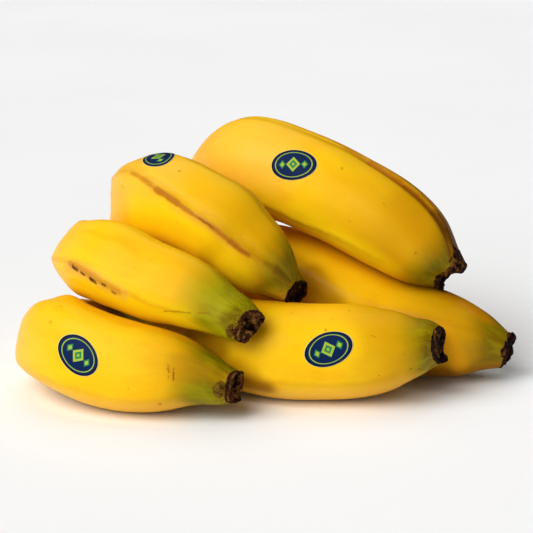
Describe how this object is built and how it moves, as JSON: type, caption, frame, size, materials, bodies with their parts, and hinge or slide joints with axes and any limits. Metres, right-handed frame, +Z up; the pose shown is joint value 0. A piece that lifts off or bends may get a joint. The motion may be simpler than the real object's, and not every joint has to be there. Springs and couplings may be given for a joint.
{
  "type": "bunch of bananas",
  "caption": "Bunch of short ripe bananas joined at one crown, lying on its side, with small plain oval fruit stickers.",
  "frame": {"origin": "middle of the bunch's footprint, on the surface it lies on", "axes": "+X the way the bananas' blossom ends point, +Y away from the side it is seen from towards the crown, +Z up"},
  "size_m": [0.2097, 0.1506, 0.105],
  "materials": {
    "peel": "waxy yellow banana peel, satin, green and brown towards the blossom end",
    "crown_skin": "dull green-brown crown with a dry brown cut face",
    "sticker": "satin navy paper label with a pale edge and a plain green pattern"
  },
  "bodies": {
    "root": {"banana_1": "peel", "banana_2": "peel", "banana_3": "peel", "banana_4": "peel", "banana_5": "peel", "banana_6": "peel", "crown": "crown_skin", "sticker_1": "sticker", "sticker_3": "sticker", "sticker_4": "sticker", "sticker_6": "sticker"}
  },
  "joints": []
}
